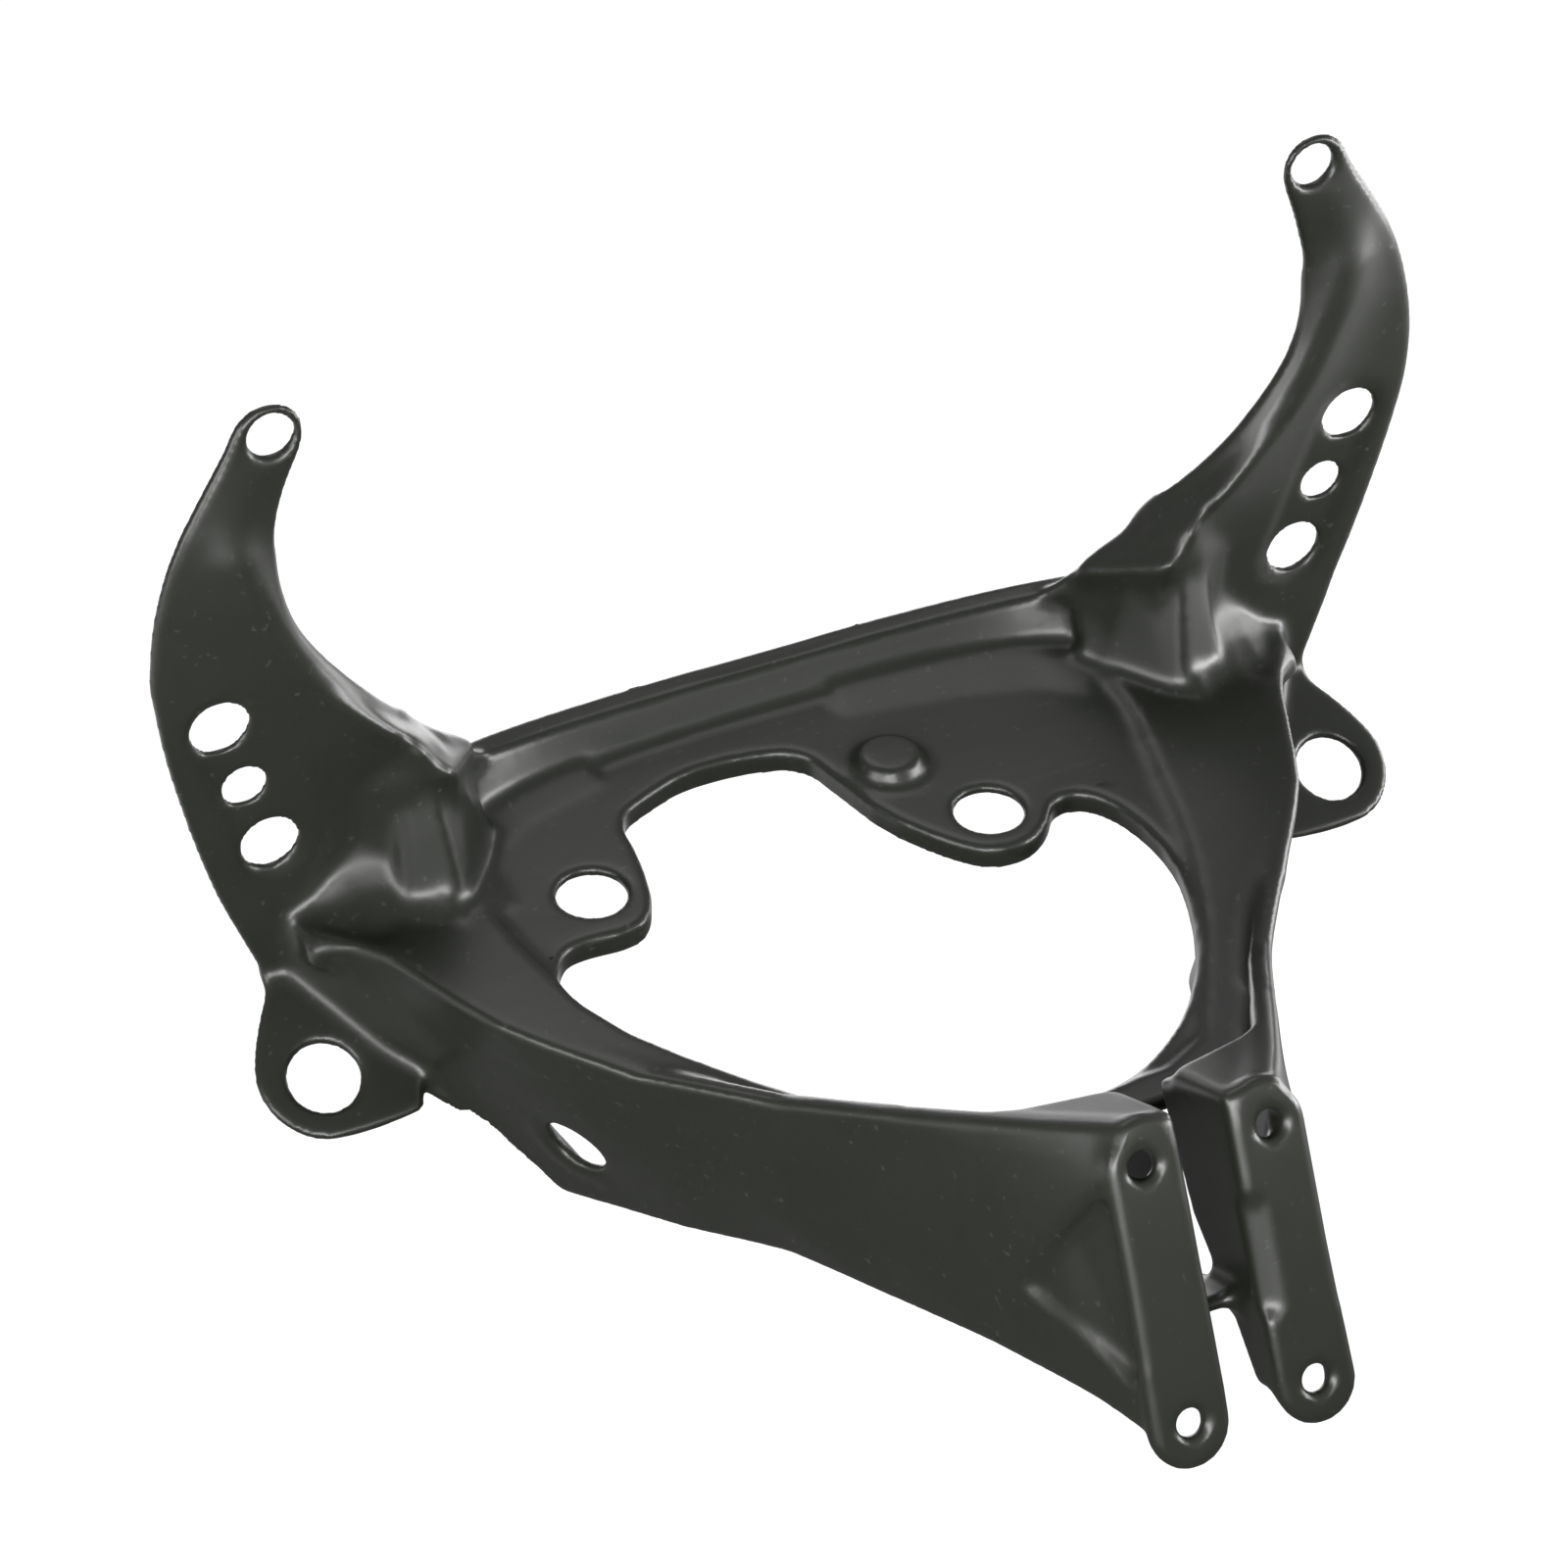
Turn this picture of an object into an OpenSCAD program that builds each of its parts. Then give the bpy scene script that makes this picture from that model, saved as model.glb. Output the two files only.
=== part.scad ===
// Headlight mounting bracket: one moulded casting with two horns, a ring frame,
// two drilled ears and two rear lugs. Millimetres, +Z up, +Y forward, X = 0 is the middle.
// The origin is the centre of the four bolt holes on the rear face of the lugs.

/* [Overall] */
// Width over the horns
overall_width = 384.8; // [380:0.4:390]
// Height of the horn tip holes above the centre of the bolt holes
tip_hole_high = 242.8; // [238:0.2:247]

/* [Rear lugs] */
// Distance between the left and right bolt holes, centre to centre
lug_hole_across = 36.4; // [34:0.2:40]
// Distance between the upper and lower bolt holes, centre to centre
lug_hole_high = 69; // [64:0.5:72]
// Diameter of the four bolt holes
lug_hole_d = 8.5; // [6.5:0.5:10]
// Thickness of the lug plates
lug_wall = 5; // [4:0.5:6]

/* [Horns] */
// Thickness of the horn and ear walls
horn_wall = 4; // [3:0.5:5]
// Diameter of the outer two mirror stay holes in each horn
mirror_hole_d = 15; // [12:0.5:16]
// Diameter of the middle hole between them
middle_hole_d = 11; // [8:0.5:12]
// Distance between neighbouring mirror stay holes
mirror_pitch = 24; // [22:0.5:25]
// Diameter of the hole in each horn tip
tip_hole_d = 12.5; // [9:0.5:14]
// Depth of the shallow pocket around the mirror stay holes
pad_depth = 1.2; // [0.4:0.2:1.6]

/* [Ears] */
// Diameter of the hole in each ear
ear_hole_d = 20; // [16:0.5:22]

/* [Ring frame] */
// Thickness of the shelf that carries the two tabs
shelf_wall = 4; // [3:0.5:5]
// Diameter of the two tab holes in the shelf
tab_hole_d = 19.5; // [16:0.5:21]
// Depth of the turned-down lip round the ring opening
lip_drop = 9; // [6:0.5:12]
// Thickness of the side arms
arm_wall = 4.5; // [4:0.25:5.5]
// Thickness of the front wall
front_wall = 4; // [3:0.5:5]
// Width of the top edge of the front wall
bar_width = 8; // [6:0.5:10]
// Diameter of the hole in each side arm
side_hole_d = 18; // [14:0.5:20]

/* [Hidden] */
round_fn = 64;
// Length of the drilling for a hole, longer than any wall
bore_run = 24;

// Longer than the part in every direction
span = 300;
// Height at which the pad turns into the upper horn
turn_z = 172;
// The horns spread sideways from this distance, and rise from the turn, to the sizes above
root_x = 104;
function wide(x) = x < root_x ? x : root_x + (x - root_x) * (overall_width / 2 - root_x) / (192.4 - root_x);
function high(z) = z < turn_z ? z : turn_z + (z - turn_z) * (tip_hole_high - turn_z) / (242.8 - turn_z);
function spread(points) = [for (p = points) [wide(p[0]), p[1], p[2]]];

// Slope of the flat mirror pads and of the horn above them, from the vertical
pad_lean = 31.6;
row_tilt = 15.6;
horn_lean = 26.9;
// Middle mirror stay hole, on the camera side of the pad
pad_x = wide(167.7);
pad_y = 200.9;
pad_z = 143.9;
turn_y = pad_y - (turn_z - pad_z) * tan(pad_lean);
// Bend line between the horn and the ear
bend_z = 84.6;
foot_z = 113;
foot_y = pad_y + (pad_z - foot_z) * tan(pad_lean);
bend_y = 232.6;
ear_lean = 33.3;
ear_x = wide(160.8);
ear_z = 57.3;
ear_y = bend_y - (bend_z - ear_z) * tan(ear_lean);
tip_x = wide(154.2);
tip_z = tip_hole_high;
tip_y = turn_y - (tip_z - turn_z) * tan(horn_lean);
// Above the top edge of the horns
top_z = tip_z + 13.2;

// Height of the top edge of the front bar
bar_top = 127.5;
// The shelf lies this far below the rim
shelf_step = 2.5;
// The shelf plane: a slope about X through this line
shelf_slope = 28;
shelf_y = 224;
shelf_z = 104;

function shelf_at(y) = shelf_z + (y - shelf_y) * tan(shelf_slope);
// Corner cutting: each side of the outline gives two points, a quarter and three quarters along it
function rounded(p) =
    [for (i = [0:len(p) - 1]) let (q = p[(i + 1) % len(p)]) each [0.75 * p[i] + 0.25 * q, 0.25 * p[i] + 0.75 * q]];
// The outline moved sideways by d, outward when its points run anticlockwise
function grown(p, d) =
    [for (i = [0:len(p) - 1])
        let (n = len(p), t = p[(i + 1) % n] - p[(i + n - 1) % n])
        p[i] + d * [t[1], -t[0]] / norm(t)];
// Triangles that close a loop of m points from its first point
function fan(m) = [for (j = [1:m - 2]) [0, j, j + 1]];

// A closed body skinned over section loops that all have the same number of points;
// cap lists the triangles that close the first and the last loop
module skin(rows, cap) {
    m = len(rows[0]);
    n = len(rows);
    pts = [for (r = rows) for (p = r) p];
    side = [for (i = [0:n - 2]) for (j = [0:m - 1]) let (k = (j + 1) % m)
        each [[i * m + j, i * m + k, (i + 1) * m + k], [i * m + j, (i + 1) * m + k, (i + 1) * m + j]]];
    first = [for (t = cap) [t[2], t[1], t[0]]];
    last = [for (t = cap) [for (v = t) (n - 1) * m + v]];
    polyhedron(points = pts, faces = concat(side, first, last), convexity = 8);
}

// Front outline of one horn and its ear, X across and Z up
horn_outline = [for (p = [
    [104, 126], [112, 86], [122, 80],
    [144, 66], [133, 42], [148, 40.5], [160, 40.5],
    [168, 41.5], [175, 46], [179.5, 53], [180, 61],
    [174, 72], [165.5, 83],
    [173, 101], [180, 120], [186, 142], [190.5, 162],
    [192.4, 178], [192, 190], [189, 204], [183, 219],
    [173.5, 233], [167, 242],
    [164, 248], [160, 251.5], [154, 252.8], [148, 250.6], [144.8, 246], [145, 240],
    [150, 230], [154, 219], [155, 208], [153.5, 196],
    [149.5, 186], [140, 173], [128, 160.5], [119, 153],
    [107, 133]
]) [wide(p[0]), high(p[1])]];

// Side profile of the horn and ear wall, Y forward and Z up
module side_profile() {
    t = horn_wall;
    polygon([
        [turn_y - (top_z - turn_z) * tan(horn_lean), top_z],
        [turn_y, turn_z],
        [foot_y, foot_z],
        [bend_y, bend_z],
        [bend_y - (bend_z - 36) * tan(ear_lean), 36],
        [bend_y - (bend_z - 36) * tan(ear_lean) + t / cos(ear_lean), 36],
        [bend_y + t / cos(ear_lean), bend_z],
        [foot_y + t / cos(pad_lean), foot_z],
        [turn_y + t / cos(pad_lean), turn_z],
        [turn_y - (top_z - turn_z) * tan(horn_lean) + t / cos(horn_lean), top_z]
    ]);
}

module horn() {
    difference() {
        intersection() {
            rotate([90, 0, 0])
                translate([0, 0, -span])
                    linear_extrude(height = span)
                        polygon(rounded(horn_outline));
            rotate([90, 0, 90])
                linear_extrude(height = span)
                    side_profile();
        }
        // shallow pocket round the three mirror stay holes
        at_mirror(0)
            translate([-1.5, 0, -pad_depth])
                union() {
                    for (y = [-1, 1])
                        translate([0, y * (mirror_pitch + 1), 0])
                            cylinder(h = pad_depth + 3, r = 11, $fn = 48);
                    translate([-11, -mirror_pitch - 1, 0])
                        cube([22, 2 * mirror_pitch + 2, pad_depth + 3]);
                }
    }
}

// Direction of a mirror stay hole row in the pad plane
module at_mirror(i) {
    translate([pad_x, pad_y, pad_z])
        rotate([90 + pad_lean, 0, 0])
            rotate([0, 0, -row_tilt])
                translate([0, i * mirror_pitch, 0])
                    children();
}

// Plan of the ring opening, with the two tabs reaching into it, anticlockwise
opening = rounded([
    [-102, 172], [-98, 180], [-92, 185], [-72, 183], [-64, 190], [-59, 208], [-58, 224],
    [-46, 229], [-32, 233.5], [-15, 233], [2, 229], [6, 215], [11, 197],
    [22, 181], [31, 173], [43, 172], [52, 177], [58, 185], [68, 184],
    [75, 172], [77, 153], [71, 134], [61, 116], [48, 101], [33, 91],
    [18, 85], [0, 83], [-18, 85], [-33, 91], [-48, 101], [-64, 116],
    [-80, 132], [-98, 150]
]);
opening_ccw = [for (i = [len(opening) - 1:-1:0]) opening[i]];

// Plan of the rim and of the step between the rim and the lower shelf inside it
rim_half = [
    [0, 73], [56, 73], [61, 84], [73, 101], [86, 120], [100, 133], [124, 163], [140, 199],
    [122, 222], [103, 236], [84, 244], [61, 248.5], [30, 251.5]
];
rim = concat(rim_half, [[0, 252.5]], [for (i = [12:-1:1]) [-rim_half[i][0], rim_half[i][1]]]);
bead = rounded([
    [-42, 84], [0, 82], [42, 84], [58, 107], [73, 131], [84, 156], [92, 187], [98, 208], [97, 226],
    [82, 237], [60, 243], [30, 247], [0, 249.5], [-30, 249], [-60, 245], [-84, 239],
    [-99, 231], [-107, 219], [-108, 205], [-106, 185], [-98, 155], [-78, 128], [-60, 107]
]);

// Draws plan shapes on the sloping shelf, h thick, the top face drop below the rim plane
module on_shelf(h, drop = 0) {
    translate([0, shelf_y, shelf_z])
        rotate([shelf_slope, 0, 0])
            translate([0, -shelf_y / cos(shelf_slope), -h - drop])
                linear_extrude(height = h)
                    children();
}
// Plan points laid out along the slope
module plan(p) {
    polygon([for (q = p) [q[0], q[1] / cos(shelf_slope)]]);
}

module shelf() {
    // rim
    on_shelf(shelf_wall + shelf_step / 2)
        difference() {
            plan(rim);
            plan(bead);
        }
    // lower shelf with the tabs
    on_shelf(shelf_wall, shelf_step)
        difference() {
            plan(grown(bead, 1.5));
            plan(opening);
        }
    // turned-down lip round the opening
    on_shelf(lip_drop, shelf_step)
        difference() {
            plan(grown(opening_ccw, 3));
            plan(opening);
        }
}

// Plan of the front wall: a flat curve that turns back at its ends
function front(d) =
    [for (x = [-99:9:99]) let (s = x / 99, y = 248.5 - 7 * s * s - 8 * pow(s, 6), g = -14 * s / 99 - 48 * pow(s, 5) / 99)
        [x, y] + d * [-g, 1] / norm([g, 1])];

module front_band(a, b) {
    polygon(concat(front(a), [for (i = [22:-1:0]) front(b)[i]]));
}

// Wall and top edge of the front bar, standing on the shelf
module front_bar() {
    difference() {
        union() {
            translate([0, 0, 96])
                linear_extrude(height = bar_top - 96)
                    front_band(0, front_wall);
            translate([0, 0, bar_top - 4])
                linear_extrude(height = 4)
                    front_band(-0.5, bar_width);
        }
        on_shelf(60, shelf_wall)
            translate([-span / 2, span / 2]) square(span);
    }
}

// Root of a horn: the sloping block between the horn wall, the front bar and the rim
module horn_root() {
    hull()
        for (p = spread([
            [119, 197, 152], [119, 201, 152], [107, 210, 131], [99, 233, 126.5], [99, 242, 126.5],
            [126, 206, 121], [128, 214, 121],
            [99, 242, 104], [96, 230, 99], [113, 208, 87], [128, 212, 92], [120, 228, 100]
        ]))
            translate(p) cube(2, center = true);
}

// Top web of the root: it fills the corner between the horn's inner edge and the front bar
module root_web() {
    hull()
        for (p = spread([
            [88, 240, 126], [99, 236, 126], [108, 214, 133], [120, 198, 151.5],
            [88, 243.5, 122], [99, 241.5, 122], [111, 219, 128], [123, 203, 146.5]
        ]))
            translate(p) cube(1.6, center = true);
}

// Stations of the right arm: rim point, shoulder point and foot point of the outer face
arm_rows = [for (r = [
    [[164, 239, 86], [150, 227.4, 67], [133, 211, 43]],
    [[157, 221, 98], [142, 214, 63], [116, 210, 21]],
    [[143, 199, 91], [132, 201, 60], [103, 207, 6]],
    [[126, 163, 71], [113, 163, 46], [84, 165, -1]],
    [[100, 133, 56], [89, 133, 33], [66, 133, -6]],
    [[76, 100, 48.5], [68, 100, 28], [53, 100, -15]],
    [[58, 66, 47], [53, 66, 28], [42, 66, -22]],
    [[38, 28, 46.5], [38, 28, 30], [31.5, 28, -31]],
    [[25, 6, 46.5], [29.3, 6, 32], [28, 6, -37]],
    [[22.5, 0.7, 46.4], [27.6, 0.7, 32], [26.6, 0.7, -37.6]]
]) spread(r)];

module arm() {
    t = arm_wall;
    skin([for (r = arm_rows)
        [
            r[0], r[1], r[2], r[2] - [t, 0, 0],
            r[1] - [t, 0, 0], r[0] - [t + 1, 0, 6], r[0] - [t + 4, 0, 6], r[0] - [t + 4, 0, 0]
        ]], [[0, 1, 4], [1, 2, 3], [1, 3, 4], [0, 4, 5], [0, 5, 6], [0, 6, 7]]);
}

// Space inside the right arm's outer face, back to the rear face of the lugs
module arm_envelope() {
    skin([for (r = arm_rows)
        let (a = r[0] - [1.2, 0, 1.5], b = r[1] - [1.2, 0, 0], c = r[2] + [-1.2, 0, 1.5])
        [a, b, c, c - [30, 0, 0], a - [30, 0, 0]]], fan(5));
}

// Triangular pocket pressed into the arm beside the lug: outer and inner outline
pocket_out = [[57, 44, 0], [33, -6, 44], [36, -6, -37]];
pocket_in = [[38, 43, 0], [21, -1, 36], [22, -1, -28]];

module pocket(grow) {
    g = grow;
    skin([
        [pocket_out[0] + [g, 2 * g, 0], pocket_out[1] + [g, 0, 1.6 * g], pocket_out[2] + [g, 0, -1.6 * g]],
        [pocket_in[0] + [-g, 2 * g, 0], pocket_in[1] + [-g, 0, 1.6 * g], pocket_in[2] + [-g, 0, -1.6 * g]]
    ], fan(3));
}

// Axis of the hole in a side arm, square to the leaning wall
side_at = [103.5, 180.5, 27.5];
module at_side() {
    translate(side_at)
        rotate([0, 0, -24.5])
            rotate([0, 117, 0])
                children();
}

module lug_outline() {
    union() {
        translate([lug_hole_across / 2 + 0.3, -lug_hole_high / 2 - 1]) circle(r = 11.3, $fn = 48);
        translate([lug_hole_across / 2, lug_hole_high / 2]) circle(r = 10, $fn = 48);
        polygon([
            [10.5, 46], [17, 48], [22, 46.5], [28.2, 34], [28.4, 0], [29.7, -37],
            [20, -46], [8.6, -40], [7, -30], [7, 0], [8.5, 30]
        ]);
    }
}

module lug() {
    rotate([90, 0, 0])
        translate([0, 0, -lug_wall])
            linear_extrude(height = lug_wall)
                lug_outline();
    // inner side wall of the lug
    rotate([90, 0, 90])
        translate([0, 0, 7])
            linear_extrude(height = 4)
                polygon([[1, -36], [14, -36], [22, -16], [34, 6], [40, 42], [10, 45.4], [1, 45.4]]);
    // closed top of the lug
    translate([0, 0, 41.9])
        linear_extrude(height = 4)
            polygon([[8, 1.2], [20.8, 1.2], [23, 6], [35, 27], [45, 44], [40, 44], [12, 34], [7.6, 30]]);
}

module half() {
    horn();
    horn_root();
    root_web();
    difference() {
        union() {
            arm();
            intersection() {
                pocket(4);
                arm_envelope();
            }
        }
        pocket(0);
    }
    // flat pad round the hole in the arm
    at_side()
        translate([0, 0, -1.5]) cylinder(h = 3.5, r = side_hole_d / 2 + 6, $fn = 48);
    lug();
}

module bores(s) {
    // horn tip
    translate([s * tip_x, tip_y, tip_z])
        rotate([90 + horn_lean, 0, 0])
            cylinder(h = bore_run, d = tip_hole_d, center = true, $fn = round_fn);
    // ear
    translate([s * ear_x, ear_y, ear_z])
        rotate([90 - ear_lean, 0, 0])
            cylinder(h = bore_run, d = ear_hole_d, center = true, $fn = round_fn);
    // rear lugs
    for (z = [-1, 1])
        translate([s * lug_hole_across / 2, 0, z * lug_hole_high / 2])
            rotate([90, 0, 0])
                cylinder(h = bore_run, d = lug_hole_d, center = true, $fn = round_fn);
}

module bracket_casting() {
    color([0.05, 0.055, 0.05])
        difference() {
            union() {
                half();
                mirror([1, 0, 0]) half();
                shelf();
                front_bar();
                // thin cross web between the lugs
                translate([-9, 14, -14]) cube([18, 22, 4]);
                // round boss beside the right tab
                translate([21.8, 213.3, shelf_at(213.3)])
                    rotate([shelf_slope, 0, 0])
                        translate([0, 0, -6]) cylinder(h = 9, d = 19, $fn = 48);
            }
            // slanting cut on the inner edge of the right lug, between its bolt holes
            translate([0, 0, -15])
                linear_extrude(height = 33)
                    polygon([[5, 4.9], [5, -1], [14.6, -1]]);
            bores(1);
            bores(-1);
            for (i = [-1:1]) {
                at_mirror(i)
                    cylinder(h = bore_run, d = i == 0 ? middle_hole_d : mirror_hole_d, center = true, $fn = round_fn);
                mirror([1, 0, 0])
                    at_mirror(i)
                        cylinder(h = bore_run, d = i == 0 ? middle_hole_d : mirror_hole_d, center = true, $fn = round_fn);
            }
            at_side()
                cylinder(h = bore_run, d = side_hole_d, center = true, $fn = round_fn);
            mirror([1, 0, 0])
                at_side()
                    cylinder(h = bore_run, d = side_hole_d, center = true, $fn = round_fn);
            // tab holes in the shelf
            for (p = [[-78, 201.6], [39, 189]])
                translate([p[0], p[1], shelf_at(p[1]) - shelf_step])
                    rotate([shelf_slope, 0, 0])
                        cylinder(h = 16, d = tab_hole_d, center = true, $fn = round_fn);
        }
}

bracket_casting();
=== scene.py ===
# %% [markdown]
# The object is a headlight mounting bracket: one casting with a satin black coating.
# The exact solid comes in as the fixed frame. Everything seen is built round it and
# stays inside its size, so the drilled holes keep their real places.

import math

import bpy
import numpy as np
import openvdb
from mathutils import Matrix, Vector


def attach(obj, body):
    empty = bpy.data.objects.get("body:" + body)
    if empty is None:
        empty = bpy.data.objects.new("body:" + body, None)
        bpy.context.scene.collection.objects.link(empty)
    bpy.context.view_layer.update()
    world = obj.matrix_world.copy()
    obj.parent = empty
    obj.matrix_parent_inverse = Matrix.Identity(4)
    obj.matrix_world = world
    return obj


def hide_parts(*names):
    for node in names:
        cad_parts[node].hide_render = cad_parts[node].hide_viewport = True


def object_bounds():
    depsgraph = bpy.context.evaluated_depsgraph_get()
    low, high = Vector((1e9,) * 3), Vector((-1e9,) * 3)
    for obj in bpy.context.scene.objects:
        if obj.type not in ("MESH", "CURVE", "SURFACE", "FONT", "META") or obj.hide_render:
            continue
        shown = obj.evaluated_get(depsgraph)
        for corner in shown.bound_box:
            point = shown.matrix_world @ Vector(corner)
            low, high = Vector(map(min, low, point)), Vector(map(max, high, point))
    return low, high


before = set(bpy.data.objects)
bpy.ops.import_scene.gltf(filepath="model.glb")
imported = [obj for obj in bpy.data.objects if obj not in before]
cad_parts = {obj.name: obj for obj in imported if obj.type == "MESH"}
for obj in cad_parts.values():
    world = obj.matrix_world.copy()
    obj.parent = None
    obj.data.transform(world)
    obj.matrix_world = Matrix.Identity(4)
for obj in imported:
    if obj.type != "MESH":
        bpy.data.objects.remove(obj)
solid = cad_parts["bracket_casting"]
size_before = [list(v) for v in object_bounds()]
print("solid box", [[round(c, 4) for c in v] for v in size_before])
MM = 0.001

# %% [markdown]
# Meshes are handled as plain arrays in millimetres: one row for each point, and one row
# of point numbers for each face. The solid comes as loose triangles, so points at the
# same place are made one, and triangles that have shrunk to a line are dropped.

# %% Arrays of points and faces


def points_of(me):
    """The mesh's points in millimetres, one row each."""
    co = np.empty(len(me.vertices) * 3, np.float32)
    me.vertices.foreach_get("co", co)
    return co.reshape(-1, 3).astype(np.float64) / MM


def triangles_of(me):
    """The mesh's faces as triangles, three point numbers each."""
    me.calc_loop_triangles()
    tri = np.empty(len(me.loop_triangles) * 3, np.int32)
    me.loop_triangles.foreach_get("vertices", tri)
    return tri.reshape(-1, 3)


cad_points, inverse = np.unique(points_of(solid.data).round(3), axis=0, return_inverse=True)
cad_faces = inverse.reshape(-1)[triangles_of(solid.data)]
whole = (cad_faces[:, 0] != cad_faces[:, 1]) & (cad_faces[:, 1] != cad_faces[:, 2])
whole &= cad_faces[:, 0] != cad_faces[:, 2]
cad_body = (cad_points, cad_faces[whole])
print("solid:", len(cad_points), "points,", len(cad_body[1]), "triangles")

# %% [markdown]
# Extra metal is added to the solid as closed bodies. Each is a skin over loops of points,
# one loop for each station along the body, because a casting's walls change their section
# all the way. A body is kept as a pair: its points and its faces.

# %% Closed bodies


def volume_of(points, faces):
    """Six times the volume inside: the sum over triangles of a . (b x c)."""
    total = 0.0
    for k in range(1, faces.shape[1] - 1):
        a, b, c = points[faces[:, 0]], points[faces[:, k]], points[faces[:, k + 1]]
        total += np.einsum("ij,ij->i", a, np.cross(b, c)).sum()
    return total


def facing_out(points, faces):
    """The body with its faces outward: turned round where the volume comes out negative."""
    return (points, faces) if volume_of(points, faces) > 0 else (points, faces[:, ::-1])


def skinned(loops):
    """A closed body: side faces join each loop's point j to point j of the next loop,
    and the middle of the first and last loop closes the ends with a fan."""
    loops = np.asarray(loops, float)
    n, m = loops.shape[:2]
    points = np.vstack([loops.reshape(-1, 3), loops[0].mean(0), loops[-1].mean(0)])
    j = np.arange(m)
    k = (j + 1) % m
    faces = []
    for i in range(n - 1):
        a, b = i * m, (i + 1) * m
        faces += [np.stack([a + j, a + k, b + k], 1), np.stack([a + j, b + k, b + j], 1)]
    faces.append(np.stack([np.full(m, n * m), k, j], 1))
    faces.append(np.stack([np.full(m, n * m + 1), (n - 1) * m + j, (n - 1) * m + k], 1))
    return facing_out(points, np.vstack(faces))


def mirrored(body):
    """The body's mirror image in X = 0, with its faces turned back outward."""
    points, faces = body
    return points * [-1, 1, 1], faces[:, ::-1]


def joined(bodies):
    """All bodies as one list of points and one of triangles."""
    points, faces, start = [], [], 0
    for p, f in bodies:
        points.append(p)
        if f.shape[1] == 4:
            f = np.vstack([f[:, [0, 1, 2]], f[:, [0, 2, 3]]])
        faces.append(f + start)
        start += len(p)
    return np.vstack(points), np.vstack(faces)


print("solid volume:", round(volume_of(*cad_body) / 6000, 1), "cm3")

# %% [markdown]
# The solid is first turned into a field of distances to its surface on an even grid, and
# the surface is drawn again from the field. The new one has points everywhere, also on
# flats, so it can be bent.

# %% Even grid
# Millimetres from one point of the grid to the next, and points kept free at its sides
STEP = 1.0
MARGIN = 3


def softened(field, rounds):
    """The field averaged over its neighbours: weights 1, 2, 1 along each axis in turn."""
    low, high = field.evalActiveVoxelBoundingBox()
    low = [v - MARGIN for v in low]
    values = np.empty([b - a + MARGIN + 1 for a, b in zip(low, high)], np.float32)
    field.copyToArray(values, ijk=low)
    for _ in range(rounds):
        for axis in range(3):
            v = np.moveaxis(values, axis, 0)
            v[1:-1] = v[1:-1] / 2 + (v[:-2] + v[2:]) / 4
    soft = openvdb.FloatGrid(field.background)
    soft.transform = field.transform
    soft.copyFromArray(values, ijk=low)
    return soft


def surface_at(body, level, band, rounds=0):
    """The surface at a distance from the body, outward where level is above zero."""
    points, faces = body
    field = openvdb.FloatGrid.createLevelSetFromPolygons(
        points.astype(np.float32),
        triangles=np.ascontiguousarray(faces, dtype=np.uint32),
        transform=openvdb.createLinearTransform(STEP),
        halfWidth=band / STEP + 2,
    )
    if rounds:
        field = softened(field, rounds)
    p, q = field.convertToQuads(level)
    return facing_out(p.astype(np.float64), q.astype(np.int64))


even = surface_at(cad_body, 0, 2)
print("even grid:", len(even[0]), "points")

# %% [markdown]
# The horn isn't flat. A ridge runs down it from the tip, up to ten millimetres nearer the
# rear than the flat of the wall, and from the ridge the wall falls away again to its inner
# edge. Both curves were found from the two horns, which are mirror images.

# %% Curves of a horn
RIDGE = np.array([
    [158, 141, 243], [166, 152, 226], [168, 154.7, 218], [164.2, 158.2, 207], [160.8, 161.4, 200],
    [157.4, 164.9, 192.8], [153.8, 168.3, 185.8], [150.2, 172.2, 178.5], [145.2, 176.2, 171.7],
    [139.7, 179.2, 165.6], [134.2, 182.1, 159.5], [128.6, 185.2, 153.4], [122.8, 190, 146.7],
    [118, 195, 139.7], [114.5, 198.5, 131], [113.5, 202, 120], [113, 204, 108], [113, 203, 96],
])
INNER_EDGE = np.array([
    [148, 153.4, 243], [152.5, 160.8, 226], [154.3, 164.5, 215], [154.4, 168.7, 207.7],
    [154.1, 171.8, 200.2], [152.7, 176.4, 192.4], [149.5, 180.1, 184.8], [144.9, 184.1, 177.6],
    [139.4, 189.7, 170.2], [133.4, 193.4, 163.8], [125.8, 202.2, 156.3], [118.1, 209.6, 149.6],
    [110.3, 214.8, 143.9], [101.7, 220.5, 139.1], [93.4, 223.6, 136], [90, 226, 126], [90, 226, 96],
])
# Height, and the X from which outward the wall is flat
FLAT_FROM = np.array([
    [96, 132], [110, 140], [123, 147], [144, 154], [164, 162],
    [180, 172], [200, 182], [220, 180], [236, 172],
])
# A point low on the plain wall, the height where its slope changes, and both slopes
FOOT_Y, FOOT_Z = 200.9, 143.9
TURN_Z = 172
LOWER_LEAN = math.tan(math.radians(31.6))
UPPER_LEAN = math.tan(math.radians(26.9))
UP_AND_DOWN = (-5, -2.5, 0, 2.5, 5)


def wall_y(z):
    """Rear face of the plain wall: y = 200.9 - (z - 143.9) tan 31.6 degrees up to z = 172,
    and from there on upward it leans 26.9 degrees."""
    lower = FOOT_Y - (z - FOOT_Z) * LOWER_LEAN
    turn = FOOT_Y - (TURN_Z - FOOT_Z) * LOWER_LEAN
    return np.where(z < TURN_Z, lower, turn - (z - TURN_Z) * UPPER_LEAN)


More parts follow.
